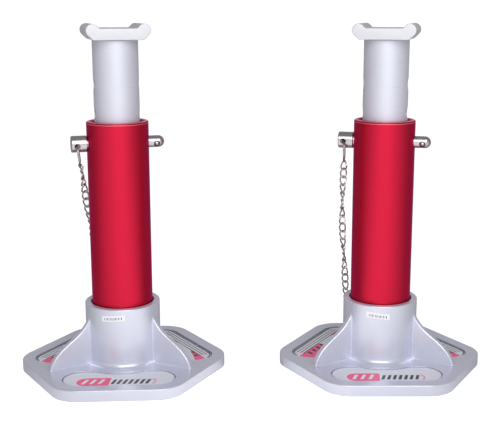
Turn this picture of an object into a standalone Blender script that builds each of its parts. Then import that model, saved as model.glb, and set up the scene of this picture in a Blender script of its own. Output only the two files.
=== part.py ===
"""A pair of aluminium axle stands.

Each stand is a hexagonal casting with a collar, an outer tube fixed in the collar, and a
drilled post that slides in the tube. A locking pin on a chain passes through the tube and
one of the post's holes. A lipped saddle on the post carries the axle.
All sizes are in metres and +Z is up. The origin is on the floor, midway between the stands.
"""

import math

import bmesh
import bpy
from mathutils import Vector

# ---- Driving dimensions ------------------------------------------------------------------

GAP = 0.0003  # clearance left between pieces that touch

# Casting: hexagonal plate, collar, three gussets and three label pockets
PLATE_APOTHEM = 0.1076
PLATE_CORNER_RADIUS = 0.035
PLATE_THICKNESS = 0.0134
PLATE_EDGE = 0.0022
COLLAR_RADIUS = 0.0433
COLLAR_TOP = 0.0828
COLLAR_FILLET = 0.006
COLLAR_EDGE = 0.0012
SEAT_HEIGHT = 0.011
SEAT_BORE = 0.024
GUSSET_THICKNESS = 0.0075
GUSSET_REACH = 0.094
GUSSET_TOP = 0.068
GUSSET_ANGLES = (60, 180, 300)
POCKET_ANGLES = (0, 120, 240)
POCKET_DEPTH = 0.0016
POCKET_OUTER = 0.093
POCKET_INNER = 0.0575
POCKET_END_RADIUS = 0.0215
POCKET_END_OFFSET = 0.0415

# Outer tube
TUBE_RADIUS = 0.035
TUBE_BORE = 0.0275
TUBE_TOP = 0.293
TUBE_EDGE = 0.0012
TUBE_SCREW_HEIGHT = 0.034
TUBE_SCREW_ANGLES = (110, 250)
TUBE_SCREW_RADIUS = 0.004
TUBE_SCREW_TIP = 0.0313

# Post
POST_RADIUS = 0.0256
POST_BORE = 0.0175
POST_HOLES = 7
POST_PITCH = 0.0328
POST_HOLE_IN_USE = 3
POST_EDGE = 0.0015
POST_TAIL = 0.020
HOLE_RADIUS = 0.0077

# Saddle
SADDLE_UNDERSIDE = 0.3834
SADDLE_FLOOR = 0.0127
SADDLE_LIP = 0.0176
SADDLE_FLOOR_HALF = 0.0203
SADDLE_BASE_HALF = 0.028
SADDLE_HALF_WIDTH = 0.0353
SADDLE_DEPTH = 0.064
LIP_RADIUS = 0.0072
SADDLE_SCREW_RADIUS = 0.005
SINK_DEPTH = 0.0055
PLUG_LENGTH = 0.024

# Guide ring at the post's lower end
RING_HEIGHT = 0.012
RING_LIP = 0.003

# Locking pin, along its own X axis
PIN_HEIGHT = 0.2681
PIN_RADIUS = 0.0068
PIN_TIP = 0.0531
PIN_HEAD_START = -0.0354
PIN_HEAD_END = -0.0527
PIN_HEAD_RADIUS = 0.0094
RING_HOLE_PLACE = -0.0463
RING_HOLE_RADIUS = 0.0029
BALL_PLACE = 0.0438
BALL_TURN = 10
BALL_RADIUS = 0.0029
BALL_BORE = 0.0034
BALL_PROUD = 0.0006
BALL_BORE_DEPTH = 0.0105

# Split ring through the pin's head, and the chain
SPLIT_RING_RADIUS = 0.014
SPLIT_RING_WIRE = 0.0006
CHAIN_RADIUS = 0.002
ANCHOR_HEIGHT = 0.062
ANCHOR_ANGLE = 156
ANCHOR_SHANK = 0.0024
ANCHOR_STAND_OFF = 0.0045
ANCHOR_LINK_RADIUS = 0.0042
ANCHOR_LINK_WIRE = 0.001

# Labels
LABEL_THICKNESS = 0.0005
LABEL_INSET = 0.0006
STICKER_WIDTH = 0.0268
STICKER_HEIGHT = 0.0064
STICKER_THICKNESS = 0.0002

ROUND = 32  # facets round a large cylinder
SMALL_ROUND = 12  # facets round a small one

# The two stands: where each is, how its casting and its tube are turned (degrees), how its
# pin is rolled and its split ring leans, where its sticker sits (degrees clockwise from the
# casting's front) and leans, and its chain's route as (degrees clockwise from the front,
# distance from the stand's axis, height)
STANDS = {
    "a": {
        "place": (-0.1520, -0.0056),
        "base_turn": 3.1,
        "tube_turn": 16.3,
        "pin_roll": 10,
        "ring_lean": 8,
        "ring_swivel": -5,
        "sticker_angle": 10.2,
        "sticker_tilt": 3.3,
        "sticker_height": 0.0727,
        "chain": [(79.7, 0.0427, 0.2405), (101, 0.0412, 0.2080), (113, 0.0400, 0.1650),
                  (134, 0.0438, 0.1150), (139.5, 0.0482, 0.0850), (141, 0.0492, 0.0480),
                  (147, 0.0496, 0.0275), (152, 0.0484, 0.0380), (152.9, 0.0462, 0.0540)],
    },
    "b": {
        "place": (0.1520, 0.0077),
        "base_turn": 0.4,
        "tube_turn": -14.0,
        "pin_roll": 4,
        "ring_lean": 0,
        "ring_swivel": 7,
        "sticker_angle": 10.4,
        "sticker_tilt": -5,
        "sticker_height": 0.0716,
        "chain": [(106.2, 0.0463, 0.2395), (108.5, 0.0482, 0.1980), (112, 0.0477, 0.1520),
                  (121, 0.0476, 0.1120), (127, 0.0484, 0.0840), (131, 0.0492, 0.0500),
                  (143, 0.0496, 0.0270), (153, 0.0484, 0.0380), (155.6, 0.0464, 0.0540)],
    },
}


# ---- Helpers -----------------------------------------------------------------------------


def clear_scene():
    for item in list(bpy.data.objects):
        bpy.data.objects.remove(item, do_unlink=True)


def make_material(name, colour, roughness, metallic):
    material = bpy.data.materials.new(name)
    material.use_nodes = True
    shader = material.node_tree.nodes["Principled BSDF"]
    shader.inputs["Base Color"].default_value = (*colour, 1)
    shader.inputs["Roughness"].default_value = roughness
    shader.inputs["Metallic"].default_value = metallic
    return material


def mesh_from(bm, name):
    """Turn a bmesh into a smooth-shaded mesh with its faces pointing out."""
    bmesh.ops.recalc_face_normals(bm, faces=bm.faces)
    mesh = bpy.data.meshes.new(name)
    bm.to_mesh(mesh)
    bm.free()
    mesh.shade_smooth()
    mesh.set_sharp_from_angle(angle=math.radians(35))
    return mesh


def place(data, name, parent, material=None, location=(0, 0, 0), rotation=(0, 0, 0)):
    """Put a mesh or curve in the scene under its parent."""
    item = bpy.data.objects.new(name, data)
    item.parent = parent
    item.location = location
    item.rotation_euler = rotation
    bpy.context.collection.objects.link(item)
    if material:
        item.data.materials.append(material)
    return item


def empty(name, parent=None, location=(0, 0, 0), turn=0.0):
    """An unseen holder turned about Z, in degrees."""
    return place(None, name, parent, location=location, rotation=(0, 0, math.radians(turn)))


def combine(target, tool, operation):
    """Cut or join a tool shape, and hide the tool."""
    tool.hide_render = True
    tool.display_type = "WIRE"
    modifier = target.modifiers.new(tool.name, "BOOLEAN")
    modifier.operation = operation
    modifier.object = tool
    modifier.solver = "EXACT"


def turned(name, profile, segments=ROUND):
    """Solid of revolution about Z, from (radius, height) points; a hollow profile closes on itself."""
    bm = bmesh.new()
    rings = []
    for radius, height in profile:
        count = segments if radius > 0 else 1
        turns = [math.tau * i / segments for i in range(count)]
        rings.append([bm.verts.new((radius * math.cos(a), radius * math.sin(a), height)) for a in turns])
    pairs = list(zip(rings, rings[1:]))
    if profile[0][0] > 0 and profile[-1][0] > 0:
        pairs.append((rings[-1], rings[0]))
    for low, high in pairs:
        for i in range(segments):
            j = (i + 1) % segments
            corners = (low[i % len(low)], low[j % len(low)], high[j % len(high)], high[i % len(high)])
            bm.faces.new(list(dict.fromkeys(corners)))
    return mesh_from(bm, name)


def stacked(name, layers):
    """Solid through outlines of equal length, each given with its height."""
    bm = bmesh.new()
    rings = [[bm.verts.new((x, y, z)) for x, y in outline] for outline, z in layers]
    for low, high in zip(rings, rings[1:]):
        for i in range(len(low)):
            j = (i + 1) % len(low)
            bm.faces.new((low[i], low[j], high[j], high[i]))
    bm.faces.new(rings[0])
    bm.faces.new(rings[-1])
    return mesh_from(bm, name)


def rod(name, radius, low, high, segments=SMALL_ROUND):
    return turned(name, [(0, low), (radius, low), (radius, high), (0, high)], segments)


def swept(name, path, side, radius, segments=6, closed=True):
    """Round wire along a path; side gives a direction that is never along the path."""
    bm = bmesh.new()
    rings = []
    count = len(path)
    for i, point in enumerate(path):
        before = path[i - 1] if closed or i else path[0]
        after = path[(i + 1) % count] if closed or i < count - 1 else path[-1]
        along = (after - before).normalized()
        across = along.cross(side(point)).normalized()
        over = across.cross(along)
        turns = [math.tau * k / segments for k in range(segments)]
        ring = [point + radius * (math.cos(a) * across + math.sin(a) * over) for a in turns]
        rings.append([bm.verts.new(p) for p in ring])
    pairs = list(zip(rings, rings[1:])) + ([(rings[-1], rings[0])] if closed else [])
    for low, high in pairs:
        for k in range(segments):
            n = (k + 1) % segments
            bm.faces.new((low[k], low[n], high[n], high[k]))
    if not closed:
        bm.faces.new(rings[0])
        bm.faces.new(rings[-1])
    return mesh_from(bm, name)


def arc(centre, radius, start, end, steps):
    """Points along an arc, with angles in degrees."""
    turns = [math.radians(start + (end - start) * i / steps) for i in range(steps + 1)]
    return [(centre[0] + radius * math.cos(a), centre[1] + radius * math.sin(a)) for a in turns]


def around(angle, radius, height=0.0):
    """A point at an angle in degrees from the front, -Y, clockwise seen from above."""
    a = math.radians(angle)
    return Vector((-radius * math.sin(a), -radius * math.cos(a), height))


def facing(angle):
    """Rotation that lays +Z outward along the direction of around(angle)."""
    return (around(angle, 1).to_track_quat("Z", "Y")).to_euler()


def smooth_path(points, steps):
    """A Catmull-Rom curve through the points."""
    ends = [2 * points[0] - points[1], *points, 2 * points[-1] - points[-2]]
    path = []
    for p, q, r, s in zip(ends, ends[1:], ends[2:], ends[3:]):
        for i in range(steps):
            t = i / steps
            path.append(0.5 * (2 * q + (r - p) * t + (2 * p - 5 * q + 4 * r - s) * t**2
                               + (3 * q - p - 3 * r + s) * t**3))
    return path + [points[-1]]


# ---- Outlines ----------------------------------------------------------------------------


def plate_outline(inset, steps=4):
    """Rounded hexagon with one flat side to the front."""
    radius = PLATE_CORNER_RADIUS - inset
    reach = (PLATE_APOTHEM - PLATE_CORNER_RADIUS) / math.cos(math.radians(30))
    points = []
    for corner in range(6):
        middle = 60 * corner
        centre = (reach * math.cos(math.radians(middle)), reach * math.sin(math.radians(middle)))
        points += arc(centre, radius, middle - 30, middle + 30, steps)
    return points


def pocket_outline(inset, steps=5):
    """Label pocket in front of the collar: a rounded bar with its inner edge round the collar."""
    end = POCKET_END_RADIUS - inset
    middle = -(POCKET_OUTER - POCKET_END_RADIUS)
    inner = POCKET_INNER + inset
    meet = math.degrees(math.acos(math.sqrt(inner**2 - (middle + end) ** 2) / inner))
    left = arc((-POCKET_END_OFFSET, middle), end, 90, 270, steps)
    right = arc((POCKET_END_OFFSET, middle), end, -90, 90, steps)
    return left + right + arc((0, 0), inner, -meet, meet - 180, steps)


def gusset_outline(steps=5):
    """Ogee web in (reach, height): steep at the collar, full at its foot."""
    foot = PLATE_THICKNESS - 0.002
    root = COLLAR_RADIUS - 0.004
    top = Vector((COLLAR_RADIUS, GUSSET_TOP))
    waist = Vector((COLLAR_RADIUS + 0.0225, 0.0445))
    toe = Vector((GUSSET_REACH, PLATE_THICKNESS))
    controls = [
        (top, Vector((COLLAR_RADIUS + 0.006, 0.0560)), Vector((COLLAR_RADIUS + 0.0135, 0.0505)), waist),
        (waist, Vector((COLLAR_RADIUS + 0.0350, 0.0365)), Vector((GUSSET_REACH - 0.0035, 0.0280)), toe),
    ]
    points = [(root, foot), (root, GUSSET_TOP)]
    for a, b, c, d in controls:
        for i in range(steps):
            t = i / steps
            u = 1 - t
            points.append(tuple(u**3 * a + 3 * t * u**2 * b + 3 * t**2 * u * c + t**3 * d))
    return points + [tuple(toe), (GUSSET_REACH, foot)]


def saddle_outline(steps=8):
    """Saddle section in (across, height): flat floor between two rounded lips that lean out."""
    lip = (SADDLE_HALF_WIDTH - LIP_RADIUS, SADDLE_LIP - LIP_RADIUS)
    right = [(SADDLE_BASE_HALF - 0.001, 0), (SADDLE_BASE_HALF + 0.0004, 0.0006)]
    right += arc(lip, LIP_RADIUS, -45, 125, steps)
    right += [(SADDLE_FLOOR_HALF + 0.0008, SADDLE_FLOOR + 0.0005),
              (SADDLE_FLOOR_HALF - 0.001, SADDLE_FLOOR)]
    return right + [(-x, z) for x, z in reversed(right)]


# ---- Pieces ------------------------------------------------------------------------------


def base_casting(tag, stand, casting_material):
    plate_layers = [
        (plate_outline(0.0008), 0.0),
        (plate_outline(0.0), 0.0008),
        (plate_outline(0.0), PLATE_THICKNESS - PLATE_EDGE),
        (plate_outline(PLATE_EDGE * 0.3), PLATE_THICKNESS - PLATE_EDGE * 0.3),
        (plate_outline(PLATE_EDGE), PLATE_THICKNESS),
    ]
    casting = place(stacked("plate", plate_layers), f"base_casting_{tag}", stand, casting_material)
    skirt = COLLAR_RADIUS + COLLAR_FILLET
    collar_profile = [(0, PLATE_THICKNESS - 0.004), (skirt, PLATE_THICKNESS - 0.004)]
    collar_profile += arc((skirt, PLATE_THICKNESS + COLLAR_FILLET), COLLAR_FILLET, 270, 180, 3)
    collar_profile += [(COLLAR_RADIUS, COLLAR_TOP - COLLAR_EDGE), (COLLAR_RADIUS - COLLAR_EDGE, COLLAR_TOP)]
    collar_profile += [(0, COLLAR_TOP)]
    combine(casting, place(turned("collar", collar_profile), f"collar_guide_{tag}", stand), "UNION")
    for angle in GUSSET_ANGLES:
        half = GUSSET_THICKNESS / 2
        web = stacked("gusset", [(gusset_outline(), -half), (gusset_outline(), half)])
        turn = math.radians(-90 - angle)
        guide = place(web, f"gusset_guide_{tag}_{angle}", stand, rotation=(math.pi / 2, 0, turn))
        combine(casting, guide, "UNION")
    bore = [(0, -0.001), (SEAT_BORE, -0.001), (SEAT_BORE, SEAT_HEIGHT), (TUBE_RADIUS + GAP, SEAT_HEIGHT),
            (TUBE_RADIUS + GAP, COLLAR_TOP - 0.001), (TUBE_RADIUS + GAP + 0.002, COLLAR_TOP + 0.001),
            (0, COLLAR_TOP + 0.001)]
    combine(casting, place(turned("bore", bore), f"bore_cutter_{tag}", stand), "DIFFERENCE")
    for angle in POCKET_ANGLES:
        outline = pocket_outline(0.0)
        heights = (PLATE_THICKNESS - POCKET_DEPTH, PLATE_THICKNESS + 0.001)
        pocket = stacked("pocket", [(outline, z) for z in heights])
        cutter = place(pocket, f"pocket_cutter_{tag}_{angle}", stand, rotation=(0, 0, math.radians(-angle)))
        combine(casting, cutter, "DIFFERENCE")
    for angle in TUBE_SCREW_ANGLES:
        hole = rod("screw_hole", TUBE_SCREW_RADIUS + GAP, 0.030, 0.060)
        cutter = place(hole, f"screw_cutter_{tag}_{angle}", stand,
                       location=(0, 0, TUBE_SCREW_HEIGHT), rotation=facing(angle))
        combine(casting, cutter, "DIFFERENCE")
    hole = rod("anchor_hole", ANCHOR_SHANK + GAP, 0.030, 0.060)
    cutter = place(hole, f"anchor_cutter_{tag}", stand,
                   location=(0, 0, ANCHOR_HEIGHT), rotation=facing(ANCHOR_ANGLE))
    combine(casting, cutter, "DIFFERENCE")


def outer_tube(tag, head, twist, anodised):
    edge = TUBE_EDGE
    profile = [(TUBE_BORE + edge, SEAT_HEIGHT + GAP), (TUBE_RADIUS - edge, SEAT_HEIGHT + GAP),
               (TUBE_RADIUS, SEAT_HEIGHT + GAP + edge), (TUBE_RADIUS, TUBE_TOP - edge),
               (TUBE_RADIUS - edge, TUBE_TOP), (TUBE_BORE + edge, TUBE_TOP),
               (TUBE_BORE, TUBE_TOP - edge), (TUBE_BORE, SEAT_HEIGHT + GAP + edge)]
    tube = place(turned("tube", profile), f"outer_tube_{tag}", head, anodised)
    cross = rod("cross_hole", HOLE_RADIUS, -0.05, 0.05)
    cutter = place(cross, f"tube_hole_cutter_{tag}", head,
                   location=(0, 0, PIN_HEIGHT), rotation=(0, math.pi / 2, 0))
    combine(tube, cutter, "DIFFERENCE")
    for angle in TUBE_SCREW_ANGLES:
        dimple = rod("dimple", TUBE_SCREW_RADIUS + GAP, TUBE_SCREW_TIP - GAP, 0.040)
        cutter = place(dimple, f"dimple_cutter_{tag}_{angle}", head,
                       location=(0, 0, TUBE_SCREW_HEIGHT), rotation=facing(angle + twist))
        combine(tube, cutter, "DIFFERENCE")


def tube_screws(tag, stand, steel):
    """Socket grub screws that hold the tube in the collar."""
    top = COLLAR_RADIUS - 0.0006
    spot = (0, 0, TUBE_SCREW_HEIGHT)
    for side, angle in zip(("left", "right"), TUBE_SCREW_ANGLES):
        screw = place(rod("grub", TUBE_SCREW_RADIUS, TUBE_SCREW_TIP, top), f"tube_screw_{side}_{tag}",
                      stand, steel, location=spot, rotation=facing(angle))
        socket = place(rod("socket", 0.0023, top - 0.0035, top + 0.001, 6),
                       f"socket_cutter_{side}_{tag}", stand, location=spot, rotation=facing(angle))
        combine(screw, socket, "DIFFERENCE")


def lifting_post(tag, post, aluminium):
    """Thick-walled post; its origin is at the locking pin's height."""
    top = SADDLE_UNDERSIDE - GAP - PIN_HEIGHT
    bottom = -(POST_HOLES - POST_HOLE_IN_USE) * POST_PITCH - POST_TAIL
    edge = POST_EDGE
    profile = [(POST_BORE, bottom), (POST_RADIUS - edge, bottom), (POST_RADIUS, bottom + edge),
               (POST_RADIUS, top - edge), (POST_RADIUS - edge, top), (POST_BORE, top)]
    body = place(turned("post", profile), f"lifting_post_{tag}", post, aluminium)
    for number in range(POST_HOLES):
        height = (POST_HOLE_IN_USE - 1 - number) * POST_PITCH
        cross = rod("cross_hole", HOLE_RADIUS, -0.04, 0.04)
        cutter = place(cross, f"post_hole_cutter_{tag}_{number}", post,
                       location=(0, 0, height), rotation=(0, math.pi / 2, 0))
        combine(body, cutter, "DIFFERENCE")


def guide_ring(tag, post, nylon):
    """Flanged nylon ring that centres the post's lower end in the tube."""
    bottom = -(POST_HOLES - POST_HOLE_IN_USE) * POST_PITCH - POST_TAIL
    outer = TUBE_BORE - GAP
    profile = [(0.0125, bottom - GAP - RING_LIP), (outer - 0.0008, bottom - GAP - RING_LIP),
               (outer, bottom - GAP - RING_LIP + 0.0008), (outer, bottom - GAP),
               (POST_BORE - GAP, bottom - GAP), (POST_BORE - GAP, bottom + RING_HEIGHT),
               (0.0125, bottom + RING_HEIGHT)]
    place(turned("guide_ring", profile, 24), f"guide_ring_{tag}", post, nylon)


def saddle(tag, post, bright):
    """Saddle block, and the plug and countersunk screw that hold it on the post."""
    underside = SADDLE_UNDERSIDE - PIN_HEIGHT
    half = SADDLE_DEPTH / 2
    outline = saddle_outline()
    edge = 0.0006
    middle = SADDLE_FLOOR / 2
    tight = [(x * (1 - edge / SADDLE_HALF_WIDTH), middle + (z - middle) * (1 - edge / SADDLE_FLOOR))
             for x, z in outline]
    layers = [(tight, -half), (outline, -half + edge), (outline, half - edge), (tight, half)]
    block = place(stacked("saddle", layers), f"saddle_{tag}", post, bright,
                  location=(0, 0, underside), rotation=(math.pi / 2, 0, 0))
    bore = SADDLE_SCREW_RADIUS + GAP
    sink = [(0, -0.001), (bore, -0.001), (bore, SADDLE_FLOOR - SINK_DEPTH),
            (bore + SINK_DEPTH - 0.001, SADDLE_FLOOR - 0.001),
            (bore + SINK_DEPTH - 0.001, SADDLE_FLOOR + 0.001), (0, SADDLE_FLOOR + 0.001)]
    cutter = place(turned("sink", sink, 20), f"sink_cutter_{tag}", post, location=(0, 0, underside))
    combine(block, cutter, "DIFFERENCE")


def saddle_fixing(tag, post, steel, aluminium):
    underside = SADDLE_UNDERSIDE - PIN_HEIGHT
    top = underside - GAP
    low = top - PLUG_LENGTH
    bore = SADDLE_SCREW_RADIUS + GAP
    radius = POST_BORE - GAP
    plug = [(bore, low), (radius - 0.001, low), (radius, low + 0.001), (radius, top), (bore, top)]
    place(turned("plug", plug, 20), f"post_plug_{tag}", post, aluminium)
    head = SADDLE_FLOOR - 0.0012
    tip = 0.002 - PLUG_LENGTH
    neck = SADDLE_FLOOR - SINK_DEPTH + 0.5 * GAP
    rim = SADDLE_SCREW_RADIUS + head - 0.0002 - neck
    screw = [(0, tip), (SADDLE_SCREW_RADIUS - 0.0006, tip), (SADDLE_SCREW_RADIUS, tip + 0.001),
             (SADDLE_SCREW_RADIUS, neck), (rim, head - 0.0002), (rim, head), (0, head)]
    body = place(turned("countersunk", screw, 20), f"saddle_screw_{tag}", post, steel,
                 location=(0, 0, underside))
    socket = place(rod("socket", 0.0034, head - 0.004, head + 0.001, 6), f"saddle_socket_cutter_{tag}",
                   post, location=(0, 0, underside))
    combine(body, socket, "DIFFERENCE")


def locking_pin(tag, pin, steel):
    """Turned pin with a bullet tip, along the holder's X axis."""
    tip = arc((0, PIN_TIP - PIN_RADIUS), PIN_RADIUS, 0, 66, 3)
    profile = [(0, PIN_HEAD_END), (PIN_HEAD_RADIUS - 0.0012, PIN_HEAD_END),
               (PIN_HEAD_RADIUS, PIN_HEAD_END + 0.0012), (PIN_HEAD_RADIUS, PIN_HEAD_START - 0.0008),
               (PIN_HEAD_RADIUS - 0.0008, PIN_HEAD_START), (PIN_RADIUS, PIN_HEAD_START), *tip, (0, PIN_TIP)]
    body = place(turned("pin", profile, 24), f"locking_pin_{tag}", pin, steel, rotation=(0, math.pi / 2, 0))
    bore = rod("ball_bore", BALL_BORE, PIN_RADIUS - BALL_BORE_DEPTH, PIN_RADIUS + 0.003, 16)
    cutter = place(bore, f"ball_bore_cutter_{tag}", pin, location=(BALL_PLACE, 0, 0),
                   rotation=(math.radians(90 + BALL_TURN), 0, 0))
    combine(body, cutter, "DIFFERENCE")
    mouth = math.sqrt(PIN_HEAD_RADIUS**2 - RING_HOLE_RADIUS**2)
    flare = RING_HOLE_RADIUS + 0.0012
    hole = [(0, -0.012), (flare, -0.012), (flare, -mouth - 0.0006), (RING_HOLE_RADIUS, -mouth + 0.0006),
            (RING_HOLE_RADIUS, mouth - 0.0006), (flare, mouth + 0.0006), (flare, 0.012), (0, 0.012)]
    cutter = place(turned("ring_hole", hole, 16), f"ring_hole_cutter_{tag}", pin,
                   location=(RING_HOLE_PLACE, 0, 0), rotation=(math.pi / 2, 0, 0))
    combine(body, cutter, "DIFFERENCE")


def split_ring(tag, pin, lean, swivel, steel):
    """Two touching coils of wire as one flat ring that hangs in the head's hole."""
    top = RING_HOLE_RADIUS - SPLIT_RING_WIRE - 0.0004
    low = arc((SPLIT_RING_RADIUS, -SPLIT_RING_WIRE), SPLIT_RING_WIRE, 180, 360, 4)
    high = arc((SPLIT_RING_RADIUS, SPLIT_RING_WIRE), SPLIT_RING_WIRE, 0, 180, 4)
    tilt, spin = math.radians(lean), math.radians(swivel)
    aside = SPLIT_RING_RADIUS * math.sin(tilt)
    centre = (RING_HOLE_PLACE + aside * math.cos(spin), aside * math.sin(spin),
              top - SPLIT_RING_RADIUS * math.cos(tilt))
    place(turned("split_ring", low + high, 40), f"split_ring_{tag}", pin, steel,
          location=centre, rotation=(0, math.pi / 2 - tilt, spin))


def detent(tag, pin, steel):
    """Spring ball near the pin's tip, pushed out towards the front and a little down."""
    centre = PIN_RADIUS + BALL_PROUD - BALL_RADIUS
    aim = math.radians(BALL_TURN)
    lay = (math.pi / 2 + aim, 0, 0)
    rows = [(0, -BALL_RADIUS), *arc((0, 0), BALL_RADIUS, -60, 60, 4), (0, BALL_RADIUS)]
    place(turned("ball", rows, 16), f"detent_ball_{tag}", pin, steel,
          location=(BALL_PLACE, -centre * math.cos(aim), -centre * math.sin(aim)), rotation=lay)
    low = PIN_RADIUS - BALL_BORE_DEPTH + 0.0006
    high = centre - BALL_RADIUS - 0.0006
    turns, steps, radius = 4, 8, 0.0022
    path = []
    for i in range(turns * steps + 1):
        a = math.tau * i / steps
        height = low + (high - low) * i / (turns * steps)
        path.append(Vector((radius * math.cos(a), radius * math.sin(a), height)))
    wire = swept("spring", path, lambda p: Vector((p.x, p.y, 0)), 0.00025, 4, closed=False)
    place(wire, f"detent_spring_{tag}", pin, steel, location=(BALL_PLACE, 0, 0), rotation=lay)


def chain(tag, floor, stand, route, steel):
    """The chain as one plain body, and its anchor on the collar."""
    points = smooth_path([around(*spot) for spot in route], 5)
    curve = bpy.data.curves.new("chain", "CURVE")
    curve.dimensions = "3D"
    spline = curve.splines.new("POLY")
    spline.points.add(len(points) - 1)
    for knot, point in zip(spline.points, points):
        knot.co = (*point, 1)
    curve.bevel_depth = CHAIN_RADIUS
    curve.bevel_resolution = 2
    curve.use_fill_caps = True
    place(curve, f"chain_{tag}", floor, steel)
    reach = COLLAR_RADIUS + GAP
    head = reach + ANCHOR_STAND_OFF
    spot = (0, 0, ANCHOR_HEIGHT)
    turn = facing(ANCHOR_ANGLE)
    start = TUBE_RADIUS + 3 * GAP
    screw = [(0, start), (ANCHOR_SHANK, start), (ANCHOR_SHANK, head), (0.0048, head),
             (0.0048, head + 0.0016), (0.0036, head + 0.0028), (0, head + 0.0028)]
    body = place(turned("anchor_screw", screw, 16), f"anchor_screw_{tag}", stand, steel, spot, turn)
    socket = place(rod("socket", 0.0016, head + 0.001, head + 0.004, 6), f"anchor_socket_cutter_{tag}",
                   stand, location=spot, rotation=turn)
    combine(body, socket, "DIFFERENCE")
    circle = [Vector((x, y, 0)) for x, y in arc((0, 0), ANCHOR_LINK_RADIUS, 0, 337.5, 15)]
    ring = swept("anchor_link", circle, lambda p: Vector((0, 0, 1)), ANCHOR_LINK_WIRE)
    hang = ANCHOR_LINK_RADIUS - ANCHOR_LINK_WIRE - ANCHOR_SHANK - GAP
    spot = around(ANCHOR_ANGLE, reach + ANCHOR_STAND_OFF / 2, ANCHOR_HEIGHT - hang)
    place(ring, f"anchor_link_{tag}", stand, steel, location=spot, rotation=turn)


def labels(tag, stand, foil):
    low = PLATE_THICKNESS - POCKET_DEPTH + GAP
    for name, angle in zip(("front", "left", "right"), (0, 120, 240)):
        outline = pocket_outline(LABEL_INSET)
        sheet = stacked("label", [(outline, low), (outline, low + LABEL_THICKNESS)])
        place(sheet, f"label_{name}_{tag}", stand, foil, rotation=(0, 0, math.radians(-angle)))


def sticker(tag, stand, angle, tilt, height, paper):
    """Small serial sticker that follows the collar's curve."""
    inner = COLLAR_RADIUS + GAP
    bm = bmesh.new()
    columns = 8
    lean = math.tan(math.radians(tilt))
    rings = []
    for i in range(columns + 1):
        across = STICKER_WIDTH * (i / columns - 0.5)
        turn = angle + math.degrees(-across / inner)
        rise = across * lean
        low, high = height + rise - STICKER_HEIGHT / 2, height + rise + STICKER_HEIGHT / 2
        outer = inner + STICKER_THICKNESS
        corners = [(inner, low), (outer, low), (outer, high), (inner, high)]
        rings.append([bm.verts.new(around(turn, radius, z)) for radius, z in corners])
    for low, high in zip(rings, rings[1:]):
        for k in range(4):
            n = (k + 1) % 4
            bm.faces.new((low[k], low[n], high[n], high[k]))
    bm.faces.new(rings[0])
    bm.faces.new(rings[-1])
    place(mesh_from(bm, "sticker"), f"serial_sticker_{tag}", stand, paper)


# ---- Assembly ----------------------------------------------------------------------------


def build_stand(tag, facts, materials):
    where = (*facts["place"], 0)
    floor = empty(f"stand_{tag}", location=where)
    stand = empty(f"base_{tag}", floor, turn=facts["base_turn"])
    head = empty(f"head_{tag}", floor, turn=facts["tube_turn"])
    post = empty(f"post_{tag}", head, location=(0, 0, PIN_HEIGHT))
    pin = empty(f"pin_{tag}", head, location=(0, 0, PIN_HEIGHT))
    pin.rotation_euler.x = math.radians(facts["pin_roll"])
    base_casting(tag, stand, materials["cast"])
    outer_tube(tag, head, facts["tube_turn"] - facts["base_turn"], materials["red"])
    tube_screws(tag, stand, materials["steel"])
    lifting_post(tag, post, materials["aluminium"])
    guide_ring(tag, post, materials["nylon"])
    saddle(tag, post, materials["bright"])
    saddle_fixing(tag, post, materials["steel"], materials["aluminium"])
    locking_pin(tag, pin, materials["steel"])
    detent(tag, pin, materials["steel"])
    split_ring(tag, pin, facts["ring_lean"], facts["ring_swivel"], materials["steel"])
    chain(tag, floor, stand, facts["chain"], materials["steel"])
    labels(tag, stand, materials["foil"])
    sticker(tag, stand, facts["sticker_angle"], facts["sticker_tilt"], facts["sticker_height"],
            materials["paper"])


def build():
    clear_scene()
    materials = {
        "cast": make_material("cast_aluminium", (0.60, 0.60, 0.66), 0.38, 0.6),
        "red": make_material("red_anodised", (0.62, 0.010, 0.045), 0.32, 0.6),
        "aluminium": make_material("aluminium", (0.66, 0.66, 0.72), 0.35, 0.8),
        "bright": make_material("bright_aluminium", (0.80, 0.80, 0.84), 0.35, 0.8),
        "steel": make_material("plated_steel", (0.62, 0.60, 0.60), 0.22, 1.0),
        "nylon": make_material("black_nylon", (0.03, 0.03, 0.03), 0.5, 0.0),
        "foil": make_material("label_foil", (0.62, 0.62, 0.68), 0.45, 0.3),
        "paper": make_material("sticker_paper", (0.90, 0.90, 0.92), 0.5, 0.0),
    }
    for tag, facts in STANDS.items():
        build_stand(tag, facts, materials)


build()
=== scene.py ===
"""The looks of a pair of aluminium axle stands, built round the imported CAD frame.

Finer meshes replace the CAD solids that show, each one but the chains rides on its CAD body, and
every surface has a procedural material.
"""

import math

import bmesh
import bpy
import numpy as np
from mathutils import Matrix, Vector


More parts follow.
